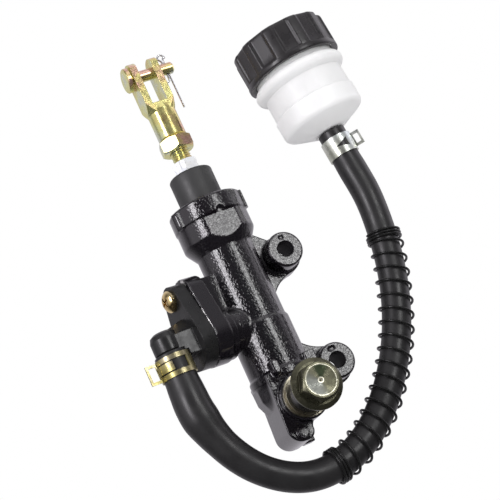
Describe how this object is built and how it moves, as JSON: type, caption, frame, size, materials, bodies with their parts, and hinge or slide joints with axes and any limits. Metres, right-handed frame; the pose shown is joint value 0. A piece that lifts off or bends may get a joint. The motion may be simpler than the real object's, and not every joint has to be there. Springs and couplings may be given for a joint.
{
  "type": "brake master cylinder",
  "caption": "Rear brake master cylinder with adjustable clevis push rod, banjo outlet and a remote fluid reservoir on a spring-guarded hose.",
  "frame": {"origin": "middle of the two mounting holes, on the mounting face", "axes": "+Z along the cylinder bore towards the push rod clevis, +Y out of the mounting face towards the bracket, +X from the bore towards the mounting ears"},
  "size_m": [0.1318, 0.0536, 0.195],
  "materials": {
    "body_paint": "gloss black over rough casting",
    "piston_alloy": "satin",
    "seal_rubber": "satin",
    "plated_steel": "white zinc",
    "spring_steel": "dark satin",
    "boot_rubber": "satin",
    "rod_zinc": "white zinc",
    "yellow_zinc": "iridescent yellow zinc",
    "olive_zinc": "olive zinc, turned face",
    "washer_alloy": "bright",
    "dark_sleeve": "satin black",
    "elbow_plastic": "satin black moulded",
    "screw_brass": "polished",
    "hose_rubber": "satin",
    "guard_wire": "gloss black",
    "clamp_zinc": "pale yellow zinc",
    "reservoir_plastic": "milky translucent",
    "cap_plastic": "satin black moulded"
  },
  "bodies": {
    "housing": {"cylinder_body": "body_paint", "retaining_washer": "plated_steel", "circlip": "spring_steel", "dust_boot": "boot_rubber", "banjo_bolt": "olive_zinc", "banjo_washers": "washer_alloy", "banjo_spacer": "dark_sleeve", "inlet_elbow": "elbow_plastic", "inlet_seal": "seal_rubber", "inlet_screw": "screw_brass", "hose": "hose_rubber", "hose_guard_spring": "guard_wire", "lower_hose_clamp": "clamp_zinc", "upper_hose_clamp": "clamp_zinc", "reservoir": "reservoir_plastic", "return_spring": "spring_steel"},
    "piston_group": {"piston": "piston_alloy", "primary_cup": "seal_rubber", "secondary_cup": "seal_rubber", "spring_seat": "plated_steel"},
    "push_rod": {"push_rod": "rod_zinc"},
    "lock_nut": {"lock_nut": "yellow_zinc"},
    "clevis": {"clevis": "yellow_zinc"},
    "clevis_pin": {"clevis_pin": "yellow_zinc", "cotter_pin": "plated_steel"},
    "diaphragm": {"reservoir_diaphragm": "seal_rubber", "diaphragm_plate": "elbow_plastic"},
    "cap": {"reservoir_cap": "cap_plastic"}
  },
  "joints": [
    {"name": "piston_stroke", "type": "slide", "parent": "housing", "child": "piston_group", "axis": [0, 0, -1], "range_m": [0, 0.01], "stiffness_N_per_m": 2200, "springref_m": -0.01, "deforming": ["return_spring"]},
    {"name": "push_rod_swing", "type": "hinge", "parent": "piston_group", "child": "push_rod", "pos_m": [-0.023, -0.011, 0.038], "axis": [1, 0, 0], "range_deg": [-1.2, 1.2]},
    {"name": "lock_nut_travel", "type": "slide", "parent": "push_rod", "child": "lock_nut", "axis": [0, 0, -1], "range_m": [0, 0.00375]},
    {"name": "clevis_turn", "type": "hinge", "parent": "lock_nut", "child": "clevis", "pos_m": [-0.023, -0.011, 0.1], "axis": [0, 0, -1], "range_deg": [0, 1080]},
    {"name": "clevis_pin_turn", "type": "hinge", "parent": "clevis", "child": "clevis_pin", "pos_m": [-0.023, -0.011, 0.1166], "axis": [1, 0, 0], "continuous": true},
    {"name": "diaphragm_lift", "type": "slide", "parent": "housing", "child": "diaphragm", "axis": [-0.0837, 0, 0.9965], "range_m": [0, 0.006]},
    {"name": "cap_turn", "type": "hinge", "parent": "diaphragm", "child": "cap", "pos_m": [0.0354, -0.02114, 0.0942], "axis": [-0.0837, 0, 0.9965], "range_deg": [0, 720]}
  ],
  "couplings": [
    {"joint": "clevis_turn", "follows": "lock_nut_travel", "rad_per_m": 5026.5},
    {"joint": "cap_turn", "follows": "diaphragm_lift", "rad_per_m": 2094.4}
  ]
}
